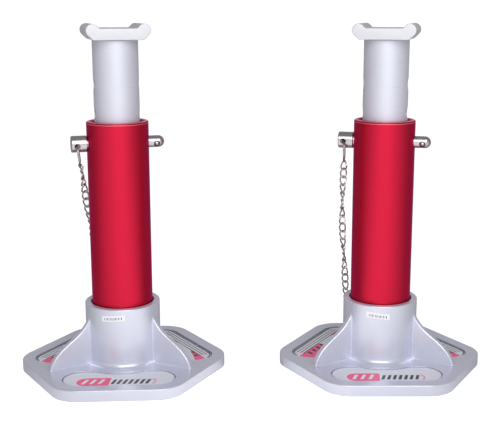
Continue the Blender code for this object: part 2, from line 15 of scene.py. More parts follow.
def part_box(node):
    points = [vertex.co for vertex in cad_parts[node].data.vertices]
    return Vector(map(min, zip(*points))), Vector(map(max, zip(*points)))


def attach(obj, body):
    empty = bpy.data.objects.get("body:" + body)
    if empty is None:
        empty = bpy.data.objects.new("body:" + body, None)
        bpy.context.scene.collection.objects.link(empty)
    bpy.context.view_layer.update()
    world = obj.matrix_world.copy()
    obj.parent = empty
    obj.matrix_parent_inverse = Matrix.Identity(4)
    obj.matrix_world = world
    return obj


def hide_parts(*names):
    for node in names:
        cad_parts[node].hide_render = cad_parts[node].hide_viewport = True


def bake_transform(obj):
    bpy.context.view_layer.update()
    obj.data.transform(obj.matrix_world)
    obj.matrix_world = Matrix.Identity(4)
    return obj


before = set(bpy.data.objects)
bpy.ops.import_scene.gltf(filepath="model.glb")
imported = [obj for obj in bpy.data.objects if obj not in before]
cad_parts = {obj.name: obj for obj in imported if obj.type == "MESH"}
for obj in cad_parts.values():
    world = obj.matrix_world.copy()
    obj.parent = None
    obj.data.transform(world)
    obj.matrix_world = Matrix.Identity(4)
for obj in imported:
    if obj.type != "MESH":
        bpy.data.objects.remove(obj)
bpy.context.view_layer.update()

# ---- Dimensions of the CAD model ----

GAP = 0.0003

PLATE_APOTHEM = 0.1076
PLATE_CORNER = 0.035
PLATE_TOP = 0.0134
COLLAR_RADIUS = 0.0433
COLLAR_TOP = 0.0828
SEAT_HEIGHT = 0.011
SEAT_BORE = 0.024
GUSSET_HALF = 0.00375
GUSSET_REACH = 0.094
GUSSET_TOP = 0.068
POCKET_DEPTH = 0.0016
GROOVE_DEPTH = 0.0034
POCKET_OUTER = 0.093
POCKET_INNER = 0.0575
POCKET_END_RADIUS = 0.0215
POCKET_END_OFFSET = 0.0415
POCKET_CORNER = 0.002
POCKET_EDGE = 0.0004
PLATE_EDGE = 0.0013
COLLAR_EDGE = 0.0012
COLLAR_FILLET = 0.006
COLLAR_FLARE = 0.0012
COLLAR_FLARE_DEPTH = 0.0045
GUSSET_EDGE = 0.0017
GUSSET_FILLET = 0.0013
GUSSET_DRAFT = 0.018
GUSSET_ANGLES = (60, 180, 300)
LABEL_ANGLES = {"front": 0, "left": 120, "right": 240}

TUBE_RADIUS = 0.035
TUBE_BORE = 0.0275
TUBE_TOP = 0.293
TUBE_ROUND = 0.0018
# Height of the painted highlight band under the tube's rounded top edge.
TUBE_HIGHLIGHT_BAND = 0.0004
TUBE_SCREW_HEIGHT = 0.034
TUBE_SCREW_TIP = 0.0313
TUBE_SCREW_HOLE = 0.0043
TUBE_SCREW_ANGLES = {"left": 110, "right": 250}

POST_RADIUS = 0.0256
POST_BORE = 0.0175
POST_PITCH = 0.0328
POST_HOLES = 7
HOLES_ABOVE = 2
POST_TAIL = 0.020
HOLE_RADIUS = 0.0077

SADDLE_UNDERSIDE = 0.3834
SADDLE_FLOOR = 0.0127
SADDLE_LIP = 0.0176
SADDLE_FLOOR_HALF = 0.0203
SADDLE_BASE_HALF = 0.028
SADDLE_HALF_WIDTH = 0.0353
SADDLE_DEPTH = 0.064
LIP_RADIUS = 0.0072

PIN_RADIUS = 0.0068
PIN_TIP = 0.0531
HEAD_START = -0.0354
HEAD_END = -0.0527
HEAD_RADIUS = 0.0094
RING_HOLE_PLACE = -0.0463
RING_HOLE_RADIUS = 0.0029
BALL_PLACE = 0.0438
BALL_RADIUS = 0.0029
BALL_BORE = 0.0034
BALL_PROUD = 0.0006
BALL_TURN = 10
SPLIT_RING_RADIUS = 0.014
SPLIT_RING_WIRE = 0.0006
SPLIT_RING_TURN = 25
RING_CLEARANCE = 0.0004

LINK_WIRE = 0.00095
LINK_HALF_LENGTH = 0.0056
LINK_HALF_WIDTH = 0.0034
LINK_PITCH = 0.0093
LINK_TWIST = 40
CHAIN_QUARTER_TURN = 0.033

ANCHOR_HEIGHT = 0.062
ANCHOR_ANGLE = 156
ANCHOR_SHANK = 0.0024
ANCHOR_STAND_OFF = 0.0045
ANCHOR_RING = 0.0042
ANCHOR_WIRE = 0.001

STICKER_WIDTH = 0.0268
STICKER_HEIGHT = 0.0064
STICKER_PAPER = 0.0002
FOIL = 0.0005
INK = 0.00006

# How each stand's casting and tube are turned, its pin rolled, its split ring leaned and its
# sticker set, and its chain's route and roll (degrees; clockwise from the front, radius, height)
STANDS = {
    "a": {
        "base_turn": 3.1,
        "tube_turn": 16.3,
        "pin_roll": 10,
        "ring_lean": 8,
        "ring_swivel": -5,
        "sticker_angle": 10.2,
        "sticker_tilt": 3.3,
        "sticker_height": 0.0727,
        "chain": [(101, 0.0417, 0.2080), (113, 0.0404, 0.1650), (134, 0.0438, 0.1150),
                  (139.5, 0.0482, 0.0850), (141, 0.0492, 0.0480), (147, 0.0496, 0.0275),
                  (152, 0.0484, 0.0380)],
        "chain_roll": -138,
    },
    "b": {
        "base_turn": 0.4,
        "tube_turn": -14.0,
        "pin_roll": 4,
        "ring_lean": 0,
        "ring_swivel": 7,
        "sticker_angle": 10.4,
        "sticker_tilt": -5,
        "sticker_height": 0.0716,
        "chain": [(108.5, 0.0482, 0.1980), (112, 0.0477, 0.1520), (121, 0.0476, 0.1120),
                  (127, 0.0484, 0.0840), (131, 0.0492, 0.0500), (143, 0.0496, 0.0270),
                  (153, 0.0484, 0.0380)],
        "chain_roll": -40,
    },
}

# ---- Floor, light and camera settings ----

FLOOR_HALF = 40
FLOOR_DROP = 0.0002
FLOOR_GREYS = ((0.30, 0.30, 0.30), (0.31, 0.31, 0.31))
FLOOR_SIDE, FLOOR_FRONT, FLOOR_SEEN = 0.20, 1.00, 0.75

SOFTBOX_PLACE = (0.12, -0.88, 0.78)
SOFTBOX_TARGET = (0, -0.1, 0.1)
SOFTBOX_SIZE = (0.9, 0.78)
SOFTBOX_POWER = 6.8

# The room's glow, as (low, high, start, stop) over the direction's Y or Z
STUDIO_COLOUR = (0.97, 0.97, 1.0, 1)
STUDIO_FRONT = (0.25, 0.85, 0.0, -1.0)
STUDIO_BACK = (0.0, 0.25, 0.3, 1.0)
STUDIO_FADE = (1.0, 0.0, 0.35, 0.85)
STUDIO_ABOVE = (0.0, 0.30, 0.35, 0.85)
BACKDROP_STRENGTH = 1.3

CAMERA_PLACE = (0.0083, -1.0879, 0.4171)
CAMERA_DOWN = 11.77
CAMERA_LENS = 69.13
CAMERA_SENSOR = 36
CAMERA_SHIFT = (-0.0183, -0.0080)

# ---- Materials ----


def link(tree, source, target):
    tree.links.new(source, target)


def node(tree, kind, **settings):
    """A new node, with settings for its sockets and its own properties."""
    made = tree.nodes.new(kind)
    for key, value in settings.items():
        if key in made.inputs:
            made.inputs[key].default_value = value
        else:
            setattr(made, key, value)
    return made


def noise(tree, vector, stretch, scale, detail=3.0, roughness=0.5):
    """Noise over a position that is first stretched along each axis."""
    mapping = node(tree, "ShaderNodeMapping", Scale=stretch)
    link(tree, vector, mapping.inputs["Vector"])
    made = node(tree, "ShaderNodeTexNoise", Scale=scale, Detail=detail, Roughness=roughness)
    link(tree, mapping.outputs["Vector"], made.inputs["Vector"])
    return made.outputs["Fac"]


def spread(tree, value, low, high, start=0.25, stop=0.75):
    """Maps a noise value from start to stop onto low to high."""
    made = node(tree, "ShaderNodeMapRange")
    for key, number in zip(("From Min", "From Max", "To Min", "To Max"), (start, stop, low, high)):
        made.inputs[key].default_value = number
    link(tree, value, made.inputs["Value"])
    return made.outputs["Result"]


def blend_colours(tree, factor, first, second):
    made = node(tree, "ShaderNodeMix", data_type="RGBA")
    link(tree, factor, made.inputs[0])
    for socket, colour in ((made.inputs[6], first), (made.inputs[7], second)):
        if isinstance(colour, tuple):
            socket.default_value = (*colour, 1)
        else:
            link(tree, colour, socket)
    return made.outputs[2]


def bump(tree, height, distance):
    made = node(tree, "ShaderNodeBump", Distance=distance, Strength=1.0)
    link(tree, height, made.inputs["Height"])
    return made.outputs["Normal"]


EVEN = (1, 1, 1)


def finish(name, colour, metallic, roughness, grain, tint=None, shade=0.06, mottle=(EVEN, 25),
           scuff=None, edge_wear_and_highlight=None):
    """A finish with broad colour mottling, fine grain in bump and roughness, marks, and lighter edges:
    partly wear, partly painted highlight.

    grain is (stretch, scale, bump distance), mottle (stretch, scale), scuff (stretch, scale,
    colour of the marks), and edge_wear_and_highlight the colour of the lighter edges and how far
    it shows."""
    material = bpy.data.materials.new(name)
    material.use_nodes = True
    tree = material.node_tree
    shader = tree.nodes["Principled BSDF"]
    shader.inputs["Metallic"].default_value = metallic
    shader.inputs["Roughness"].default_value = roughness
    if tint:
        shader.inputs["Specular Tint"].default_value = (*tint, 1)
    place = node(tree, "ShaderNodeTexCoord").outputs["Object"]
    dark = tuple(c * (1 - shade) for c in colour)
    light = tuple(min(1.0, c * (1 + shade)) for c in colour)
    paint = blend_colours(tree, noise(tree, place, *mottle, 4.0, 0.6), dark, light)
    if scuff:
        stretch, scale, mark = scuff
        marks = noise(tree, place, stretch, scale, 4.0, 0.7)
        paint = blend_colours(tree, spread(tree, marks, 0.0, 0.7, 0.61, 0.68), paint, mark)
    # Edges lightened by pointiness: partly wear, partly painted highlight.
    if edge_wear_and_highlight:
        edge = node(tree, "ShaderNodeNewGeometry").outputs["Pointiness"]
        edge_lightening = spread(tree, edge, 0.0, edge_wear_and_highlight[1], 0.53, 0.62)
        paint = blend_colours(tree, edge_lightening, paint, edge_wear_and_highlight[0])
    link(tree, paint, shader.inputs["Base Color"])
    stretch, scale, depth = grain
    fine = noise(tree, place, stretch, scale, 3.0, 0.65)
    link(tree, bump(tree, fine, depth), shader.inputs["Normal"])
    link(tree, spread(tree, fine, 0.94 * roughness, 1.06 * roughness), shader.inputs["Roughness"])
    return material


TURNED_GRAIN = ((40, 40, 1), 30, 0.00002)
PRINT_GRAIN = (EVEN, 900, 0.00001)

# edge_wear_and_highlight lightens edges: partly wear, partly painted highlight.
MATERIALS = {
    "cast": finish("cast_aluminium", (0.69, 0.705, 0.81), 0.45, 0.29, (EVEN, 1400, 0.00001),
                   tint=(0.95, 0.95, 1.0), shade=0.025, mottle=(EVEN, 40),
                   edge_wear_and_highlight=((0.93, 0.93, 0.97), 0.35)),
    "red": finish("red_anodised", (0.635, 0.016, 0.050), 0.92, 0.36, TURNED_GRAIN,
                  tint=(0.85, 0.45, 0.85), shade=0.05, mottle=((1, 1, 0.08), 60),
                  edge_wear_and_highlight=((0.95, 0.30, 0.40), 0.7)),
    # A lighter red for the tube's top face and rim band: painted highlight.
    "edge_lightening": finish("red_rim_painted_highlight", (0.90, 0.30, 0.38), 0.5, 0.36, TURNED_GRAIN, shade=0.05),
    "post": finish("turned_aluminium", (0.63, 0.635, 0.715), 0.42, 0.52, ((1, 1, 60), 35, 0.00002),
                   shade=0.03, mottle=((1, 1, 0.3), 50), scuff=((1, 1, 9), 45, (0.50, 0.51, 0.62)),
                   edge_wear_and_highlight=((0.92, 0.92, 0.94), 0.4)),
    "bright": finish("bright_aluminium", (0.61, 0.62, 0.65), 0.30, 0.50, ((1, 30, 1), 50, 0.00002),
                     shade=0.015, mottle=(EVEN, 60)),
    "steel": finish("plated_steel", (0.56, 0.52, 0.53), 1.0, 0.20, ((30, 1, 1), 90, 0.00001),
                    shade=0.05, mottle=(EVEN, 200)),
    "wire": finish("chain_steel", (0.45, 0.45, 0.47), 1.0, 0.24, (EVEN, 900, 0.00002),
                   mottle=(EVEN, 300)),
    "nylon": finish("black_nylon", (0.03, 0.03, 0.03), 0.0, 0.5, (EVEN, 900, 0.00003), shade=0.2),
    "foil": finish("label_foil", (0.80, 0.825, 0.90), 0.1, 0.45, ((1, 25, 1), 80, 0.00001),
                   shade=0.03, mottle=(EVEN, 30)),
    "pink": finish("print_pink", (0.95, 0.11, 0.29), 0.0, 0.35, PRINT_GRAIN, shade=0.05),
    "ink": finish("print_grey", (0.035, 0.035, 0.05), 0.0, 0.4, PRINT_GRAIN, shade=0.1),
    "fine_ink": finish("print_fine_grey", (0.10, 0.11, 0.15), 0.0, 0.4, PRINT_GRAIN, shade=0.1),
    "white": finish("print_white", (0.90, 0.90, 0.93), 0.0, 0.4, PRINT_GRAIN, shade=0.02),
}

# ---- Mesh helpers ----


def to_mesh(name, points, faces, smooth_angle=35):
    mesh = bpy.data.meshes.new(name)
    mesh.from_pydata([tuple(p) for p in points], [], [tuple(f) for f in faces])
    bm = bmesh.new()
    bm.from_mesh(mesh)
    bmesh.ops.recalc_face_normals(bm, faces=bm.faces)
    bm.to_mesh(mesh)
    bm.free()
    mesh.shade_smooth()
    mesh.set_sharp_from_angle(angle=math.radians(smooth_angle))
    return mesh


def placed(name, data):
    """A new object in the scene."""
    item = bpy.data.objects.new(name, data)
    bpy.context.scene.collection.objects.link(item)
    return item


def arc(centre, radius, start, end, steps):
    """Points along an arc, with angles in degrees."""
    turns = [math.radians(start + (end - start) * i / steps) for i in range(steps + 1)]
    return [(centre[0] + radius * math.cos(a), centre[1] + radius * math.sin(a)) for a in turns]


def lathe(name, profile, segments=96):
    """Solid of revolution about Z from (radius, height) points; a hollow profile closes on itself."""
    points, rings, faces = [], [], []
    for radius, height in profile:
        count = segments if radius > 0 else 1
        rings.append([len(points) + i for i in range(count)])
        turns = [math.tau * i / segments for i in range(count)]
        points += [(radius * math.cos(a), radius * math.sin(a), height) for a in turns]
    pairs = list(zip(rings, rings[1:]))
    if profile[0][0] > 0 and profile[-1][0] > 0:
        pairs.append((rings[-1], rings[0]))
    for low, high in pairs:
        for i in range(segments):
            j = (i + 1) % segments
            corners = (low[i % len(low)], low[j % len(low)], high[j % len(high)], high[i % len(high)])
            faces.append(list(dict.fromkeys(corners)))
    return to_mesh(name, points, faces)


def stack(name, layers, smooth_angle=35):
    """Solid through outlines of equal length, each given with its height."""
    points = [(x, y, z) for outline, z in layers for x, y in outline]
    count = len(layers[0][0])
    faces = [list(range(count)), [len(points) - count + i for i in range(count)]]
    for level in range(len(layers) - 1):
        for i in range(count):
            j = (i + 1) % count
            low, high = level * count, (level + 1) * count
            faces.append((low + i, low + j, high + j, high + i))
    return to_mesh(name, points, faces, smooth_angle)


def sweep(path, wire, sides, side, closed=True):
    """Points and faces of a round wire along a path."""
    path = np.array(path, float)
    count = len(path)
    ahead, behind = np.roll(path, -1, 0), np.roll(path, 1, 0)
    if not closed:
        ahead[-1], behind[0] = path[-1], path[0]
    along = ahead - behind
    along /= np.linalg.norm(along, axis=1, keepdims=True)
    across = np.cross(along, np.array(side, float))
    across /= np.linalg.norm(across, axis=1, keepdims=True)
    over = np.cross(across, along)
    turns = np.arange(sides) * math.tau / sides
    ring = (np.cos(turns)[None, :, None] * across[:, None]
            + np.sin(turns)[None, :, None] * over[:, None])
    points = (path[:, None] + wire * ring).reshape(-1, 3)
    faces = []
    for i in range(count if closed else count - 1):
        n = (i + 1) % count
        for k in range(sides):
            m = (k + 1) % sides
            faces.append((i * sides + k, i * sides + m, n * sides + m, n * sides + k))
    if not closed:
        faces.append(tuple(range(sides)))
        faces.append(tuple((count - 1) * sides + k for k in range(sides)))
    return points, faces


def cut(mesh, cutters, smooth_angle=35):
    """Takes each (mesh, matrix) out of a mesh."""
    target = placed("target", mesh)
    tools = []
    for cutter, where in cutters:
        tool = placed("tool", cutter)
        tool.matrix_world = where
        tools.append(tool)
        modifier = target.modifiers.new("cut", "BOOLEAN")
        modifier.operation = "DIFFERENCE"
        modifier.object = tool
        modifier.solver = "EXACT"
    bpy.context.view_layer.update()
    depsgraph = bpy.context.evaluated_depsgraph_get()
    made = bpy.data.meshes.new_from_object(target.evaluated_get(depsgraph))
    for item in (target, *tools):
        bpy.data.objects.remove(item, do_unlink=True)
    made.materials.clear()
    made.shade_smooth()
    made.set_sharp_from_angle(angle=math.radians(smooth_angle))
    return made


def round_normals(mesh, axis=2):
    """Gives the faces of a cut cylinder about the axis the true cylinder's normals."""
    normals = np.array([c.vector for c in mesh.corner_normals])
    places = np.array([v.co for v in mesh.vertices])
    for face in mesh.polygons:
        flat = np.array(face.normal)
        out = np.array(face.center)
        flat[axis] = out[axis] = 0
        reach = np.linalg.norm(out)
        if reach < 1e-6 or np.linalg.norm(flat) < 0.999 or abs(flat @ out) / reach < 0.995:
            continue
        facing = 1 if flat @ out > 0 else -1
        for corner in face.loop_indices:
            ray = places[mesh.loops[corner].vertex_index].copy()
            ray[axis] = 0
            normals[corner] = facing * ray / np.linalg.norm(ray)
    mesh.normals_split_custom_set([tuple(n) for n in normals])
    return mesh


def around(angle, radius, height=0.0):
    """A point at an angle in degrees from the front, -Y, clockwise seen from above."""
    a = math.radians(angle)
    return Vector((-radius * math.sin(a), -radius * math.cos(a), height))


def facing(angle, height=0.0):
    """Matrix that lays +Z outward along the direction of around(angle)."""
    turn = around(angle, 1).to_track_quat("Z", "Y").to_matrix().to_4x4()
    return Matrix.Translation((0, 0, height)) @ turn


def turned(degrees, axis="Z"):
    return Matrix.Rotation(math.radians(degrees), 4, axis)


def show(name, mesh, material, where, body, stands_for):
    """Puts a finished piece in the scene in place of its CAD nodes."""
    item = placed(name, mesh)
    item.matrix_world = where
    if material and not mesh.materials:
        mesh.materials.append(MATERIALS[material])
    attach(item, body)
    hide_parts(*stands_for)


# ---- The casting ----


def hexagon(x, y, apothem):
    """Distance to a hexagon with flat sides to the front and back."""
    c, s, t = -math.sqrt(3) / 2, 0.5, 1 / math.sqrt(3)
    x, y = np.abs(x), np.abs(y)
    fold = 2 * np.minimum(c * x + s * y, 0)
    x, y = x - fold * c, y - fold * s
    x, y = x - np.clip(x, -t * apothem, t * apothem), y - apothem
    return np.hypot(x, y) * np.sign(y)


def polygon(outline, x, y):
    """Distance to a closed outline, negative inside."""
    best = np.full(x.shape, np.inf)
    sign = np.ones(x.shape)
    for (ax, ay), (bx, by) in zip(outline, outline[1:] + outline[:1]):
        ex, ey = bx - ax, by - ay
        wx, wy = x - ax, y - ay
        t = np.clip((wx * ex + wy * ey) / (ex * ex + ey * ey), 0, 1)
        best = np.minimum(best, (wx - ex * t) ** 2 + (wy - ey * t) ** 2)
        side = ex * wy - ey * wx
        crosses = ((ay <= y) & (by > y) & (side > 0)) | ((ay > y) & (by <= y) & (side < 0))
        sign = np.where(crosses, -sign, sign)
    return sign * np.sqrt(best)


def both(a, b, edge):
    """Where two fields overlap, with a rounded edge."""
    corner = np.hypot(np.maximum(a + edge, 0), np.maximum(b + edge, 0))
    return np.minimum(np.maximum(a, b), -edge) + corner


def either(a, b, fillet):
    """Two fields joined with a fillet."""
    corner = np.hypot(np.maximum(fillet - a, 0), np.maximum(fillet - b, 0))
    return np.maximum(np.minimum(a, b), fillet) - corner


def slab(z, low, high):
    return np.maximum(low - z, z - high)


def gusset_outline(steps=10):
    """Ogee web in (reach, height): steep at the collar, full at its foot."""
    foot, root = PLATE_TOP - 0.006, COLLAR_RADIUS - 0.004
    top = Vector((COLLAR_RADIUS, GUSSET_TOP))
    waist = Vector((COLLAR_RADIUS + 0.0225, 0.0445))
    toe = Vector((GUSSET_REACH, PLATE_TOP))
    curves = [
        (top, Vector((COLLAR_RADIUS + 0.006, 0.0560)), Vector((COLLAR_RADIUS + 0.0135, 0.0505)), waist),
        (waist, Vector((COLLAR_RADIUS + 0.0350, 0.0365)), Vector((GUSSET_REACH - 0.0035, 0.0280)), toe),
    ]
    points = [(root, foot), (root, GUSSET_TOP)]
    for a, b, c, d in curves:
        for i in range(steps):
            t = i / steps
            u = 1 - t
            points.append(tuple(u**3 * a + 3 * t * u**2 * b + 3 * t**2 * u * c + t**3 * d))
    return points + [tuple(toe), (GUSSET_REACH, foot)]


GUSSET = gusset_outline()


def pocket_field(x, y):
    """The label pocket in front of the collar: a rounded bar cut back round the collar."""
    middle = -(POCKET_OUTER - POCKET_END_RADIUS)
    bar = np.hypot(np.maximum(np.abs(x) - POCKET_END_OFFSET, 0), y - middle) - POCKET_END_RADIUS
    return both(bar, POCKET_INNER - np.hypot(x, y), POCKET_CORNER)


def along_and_across(x, y, angle):
    """Coordinates along the direction of around(angle) and across it."""
    a = math.radians(angle)
    return -x * math.sin(a) - y * math.cos(a), x * math.cos(a) - y * math.sin(a)


def casting_field(x, y, z):
    """Distance to the casting, negative inside."""
    reach = np.hypot(x, y)
    outline = hexagon(x, y, PLATE_APOTHEM - PLATE_CORNER) - PLATE_CORNER
    plate = both(outline, slab(z, 0, PLATE_TOP), PLATE_EDGE)
    collar = both(reach - COLLAR_RADIUS, slab(z, 0.002, COLLAR_TOP), COLLAR_EDGE)
    body = either(plate, collar, COLLAR_FILLET)
    for angle in GUSSET_ANGLES:
        along, across = along_and_across(x, y, angle)
        near = (np.abs(across) < 0.013) & (along > 0.030) & (along < 0.104) & (z < 0.080)
        web = np.full(x.shape, 1.0)
        half = GUSSET_HALF + GUSSET_DRAFT * (0.030 - z[near])
        side = polygon(GUSSET, along[near], z[near])
        web[near] = both(side, np.abs(across[near]) - half, GUSSET_EDGE)
        body = either(body, web, GUSSET_FILLET)
    for angle in LABEL_ANGLES.values():
        along, across = along_and_across(x, y, angle)
        pocket = both(pocket_field(across, -along), slab(z, PLATE_TOP - GROOVE_DEPTH, 1.0),
                      POCKET_EDGE)
        body = both(body, -pocket, POCKET_EDGE)
    holes = [(angle, TUBE_SCREW_HEIGHT, TUBE_SCREW_HOLE) for angle in TUBE_SCREW_ANGLES.values()]
    for angle, height, radius in (*holes, (ANCHOR_ANGLE, ANCHOR_HEIGHT, ANCHOR_SHANK + GAP)):
        along, across = along_and_across(x, y, angle)
        hole = np.hypot(across, z - height) - radius
        body = np.where(along > 0, both(body, -hole, 0.0005), body)
    flare = np.clip(z - (COLLAR_TOP - COLLAR_FLARE_DEPTH), 0, COLLAR_FLARE)
    bore = np.maximum(reach - TUBE_RADIUS - GAP - flare, SEAT_HEIGHT - z)
    body = both(body, -bore, 0.0003)
    return np.maximum(np.maximum(body, -z), SEAT_BORE - reach)


def field_mesh(name, field, axes, relax=3):
    """Quads over a field's zero surface, one point in each cell that it crosses, on a ruled grid."""
    grid = np.meshgrid(*axes, indexing="ij")
    values = field(*grid)
    inside = values < 0
    nx, ny, nz = (len(a) - 1 for a in axes)
    corners = [(i, j, k) for i in (0, 1) for j in (0, 1) for k in (0, 1)]
    total = sum(inside[i : i + nx, j : j + ny, k : k + nz].astype(int) for i, j, k in corners)
    cells = np.argwhere((total > 0) & (total < 8))
    index = np.full((nx, ny, nz), -1)
    index[tuple(cells.T)] = np.arange(len(cells))
    spots = np.array([[axes[d][cells[:, d] + c[d]] for d in range(3)] for c in corners])
    depth = np.array([values[tuple((cells + c).T)] for c in corners])
    summed, count = np.zeros((len(cells), 3)), np.zeros(len(cells))
    for a in range(8):
        for b in range(a + 1, 8):
            if sum(abs(p - q) for p, q in zip(corners[a], corners[b])) == 1:
                crossing = (depth[a] < 0) != (depth[b] < 0)
                t = np.where(crossing, depth[a] / np.where(crossing, depth[a] - depth[b], 1), 0)
                summed += np.where(crossing, spots[a] + t * (spots[b] - spots[a]), 0).T
                count += crossing
    points = summed / count[:, None]
    quads = []
    for d in range(3):
        e, f = (d + 1) % 3, (d + 2) % 3
        low = np.take(inside, range(inside.shape[d] - 1), axis=d)
        high = np.take(inside, range(1, inside.shape[d]), axis=d)
        edges = np.argwhere(low != high)
        edges = edges[(edges[:, e] > 0) & (edges[:, f] > 0)]
        edges = edges[(edges[:, e] < len(axes[e]) - 1) & (edges[:, f] < len(axes[f]) - 1)]
        ring = []
        for back_e, back_f in ((0, 0), (1, 0), (1, 1), (0, 1)):
            cell = edges.copy()
            cell[:, e] -= back_e
            cell[:, f] -= back_f
            ring.append(index[tuple(cell.T)])
        ring = np.array(ring).T
        out = low[tuple(edges.T)]
        quads.append(np.where(out[:, None], ring, ring[:, ::-1]))
    quads = np.concatenate(quads)

    def slope(p, step=0.00015):
        parts = []
        for d in range(3):
            shift = np.zeros(3)
            shift[d] = step
            parts.append(field(*(p + shift).T) - field(*(p - shift).T))
        parts = np.array(parts).T
        return parts / np.maximum(np.linalg.norm(parts, axis=1, keepdims=True), 1e-12)

    def settle(p, times):
        for _ in range(times):
            p = p - slope(p) * np.clip(field(*p.T), -0.0006, 0.0006)[:, None]
        return p

    for _ in range(relax):
        pull, number = np.zeros_like(points), np.zeros(len(points))
        for k in range(4):
            beside = points[quads[:, (k + 1) % 4]] + points[quads[:, (k + 3) % 4]]
            np.add.at(pull, quads[:, k], beside)
            np.add.at(number, quads[:, k], 2)
        points = settle(0.5 * points + 0.5 * pull / number[:, None], 1)
    points = settle(points, 2)
    mesh = bpy.data.meshes.new(name)
    mesh.from_pydata(points.tolist(), [], quads.tolist())
    mesh.shade_smooth()
    mesh.normals_split_custom_set_from_vertices(slope(points, 0.00025).tolist())
    return mesh


def ruled(*stretches):
    """Positions along one axis, from (start, stop, step) stretches."""
    parts = [np.arange(start, stop - step / 2, step) for start, stop, step in stretches]
    return np.concatenate(parts + [np.array([stretches[-1][1]])])


def casting_mesh():
    fine = 0.0010
    x = ruled((-0.1215, 0.1215, fine))
    y = ruled((-0.1115, 0.1115, fine))
    z = ruled((-0.0012, 0.0016, 0.0007), (0.0016, 0.0106, 0.0018), (0.0106, 0.0196, 0.0006),
              (0.0196, 0.0800, 0.0012), (0.0800, 0.0842, 0.0006))
    mesh = field_mesh("casting", casting_field, (x, y, z))
    mesh.materials.append(MATERIALS["cast"])
    return mesh


# ---- Label panels ----


def pocket_outline(inset, steps=14):
    end = POCKET_END_RADIUS - inset
    middle = -(POCKET_OUTER - POCKET_END_RADIUS)
    inner = POCKET_INNER + inset
    meet = math.degrees(math.acos(math.sqrt(inner**2 - (middle + end) ** 2) / inner))
    left = arc((-POCKET_END_OFFSET, middle), end, 90, 270, steps)
    right = arc((POCKET_END_OFFSET, middle), end, -90, 90, steps)
    return left + right + arc((0, 0), inner, -meet, meet - 180, steps * 2)


def join(name, parts):
    """One mesh from (mesh, material name) parts."""
    bm = bmesh.new()
    mesh = bpy.data.meshes.new(name)
    for slot_index, (part, material) in enumerate(parts):
        start = len(bm.faces)
        bm.from_mesh(part)
        bm.faces.ensure_lookup_table()
        for face in bm.faces[start:]:
            face.material_index = slot_index
        mesh.materials.append(MATERIALS[material])
    bm.to_mesh(mesh)
    bm.free()
    mesh.shade_smooth()
    mesh.set_sharp_from_angle(angle=math.radians(30))
    return mesh


def flat_shape(outline, low, thickness):
    return stack("shape", [(outline, low), (outline, low + thickness)])


def slanted_bar(x, y, width, height, lean):
    shift = lean * height / 2
    return [(x - width / 2 - shift, y - height / 2), (x + width / 2 - shift, y - height / 2),
            (x + width / 2 + shift, y + height / 2), (x - width / 2 + shift, y + height / 2)]


def clipped(outline, keep):
    """An outline cut to the side of a line where keep(x, y) is positive."""
    points = []
    for p, q in zip(outline, outline[1:] + outline[:1]):
        a, b = keep(*p), keep(*q)
        if a >= 0:
            points.append(p)
        if a * b < 0:
            t = a / (a - b)
            points.append((p[0] + t * (q[0] - p[0]), p[1] + t * (q[1] - p[1])))
    return points


def half_rim(outline, reach):
    """The stretch of a pocket outline that lies further out than a reach."""
    return [p for p in outline if p[1] < -reach]


def badge(y, radius, stretch):
    """A bar with a round left end and a slanted right one."""
    end = -0.0102 + stretch
    return arc((-0.0350, y), radius, 90, 270, 20) + [(end, y - radius), (end + 0.0022, y + radius)]


def front_print(top):
    """The badge, the row of bars after it and the arc that ends the row."""
    y, height = -0.0808, 0.0125
    parts = [(flat_shape(badge(y, 0.0122, 0.0014), top, INK), "white"),
             (flat_shape(badge(y, 0.0112, 0), top, 2 * INK), "pink")]
    for i in range(3):
        bar = slanted_bar(-0.0365 + 0.0090 * i, y + 0.0005, 0.0037, height, 0.35)
        parts.append((flat_shape(bar, top, 3 * INK), "white"))
    for i in range(7):
        bar = slanted_bar(-0.0048 + 0.0063 * i, y - 0.0005, 0.0034, height, 0.28)
        parts.append((flat_shape(bar, top, 2 * INK), "ink"))
    outer, inner = (arc((0.0290, y), radius, -40, 40, 14) for radius in (0.0125, 0.0113))
    parts.append((flat_shape(outer + inner[::-1], top, 2 * INK), "pink"))
    return parts


def side_print_and_shadow(top):
    """Four lines, a dark band along the outer edge that is a painted shadow of the pocket wall, and two
    pink fields with dark bars.
    """
    parts = []
    for i in range(4):
        y = -0.0893 + 0.0041 * i
        half = 0.0500 - 0.0004 * i
        line = [(-half, y), (half, y), (half, y + 0.0012), (-half, y + 0.0012)]
        parts.append((flat_shape(line, top, INK), "fine_ink"))
    # Painted shadow: a dark band in fine ink along the outer edge, where the pocket wall shades the
    # foil.
    wall_shadow_out, wall_shadow_in = (half_rim(pocket_outline(inset), 0.0790) for inset in (0.0017, 0.0032))
    parts.append((flat_shape(wall_shadow_out + wall_shadow_in[::-1], top, INK), "fine_ink"))
    front, left, right = -0.0765, -0.0230, 0.0080
    field = clipped(pocket_outline(0.0030), lambda x, y: y - front)
    wide = clipped(field, lambda x, y: x - right)
    wedge = clipped(field, lambda x, y: left - x)
    wedge = clipped(wedge, lambda x, y: front - y + 0.37 * (left - x))
    parts += [(flat_shape(shape, top, INK), "pink") for shape in (wide, wedge)]
    bars = [(0.0120 + 0.0105 * i, -0.0700, 0.0045, 0.0070) for i in range(4)]
    bars += [(-0.0340, -0.0738, 0.0050, 0.0030), (-0.0450, -0.0722, 0.0060, 0.0036)]
    for bar in bars:
        parts.append((flat_shape(slanted_bar(*bar, 0.5), top, 2 * INK), "ink"))
    return parts


def label_mesh(foil_marks):
    """A foil panel in its pocket, with its print and, on the side panels, a painted shadow band."""
    low = PLATE_TOP - POCKET_DEPTH + GAP
    top = low + FOIL
    edge, inner = pocket_outline(0.0013), pocket_outline(0.0015)
    foil = stack("foil", [(edge, low), (edge, top - 0.0002), (inner, top)])
    return join("label", [(foil, "foil")] + foil_marks(top))


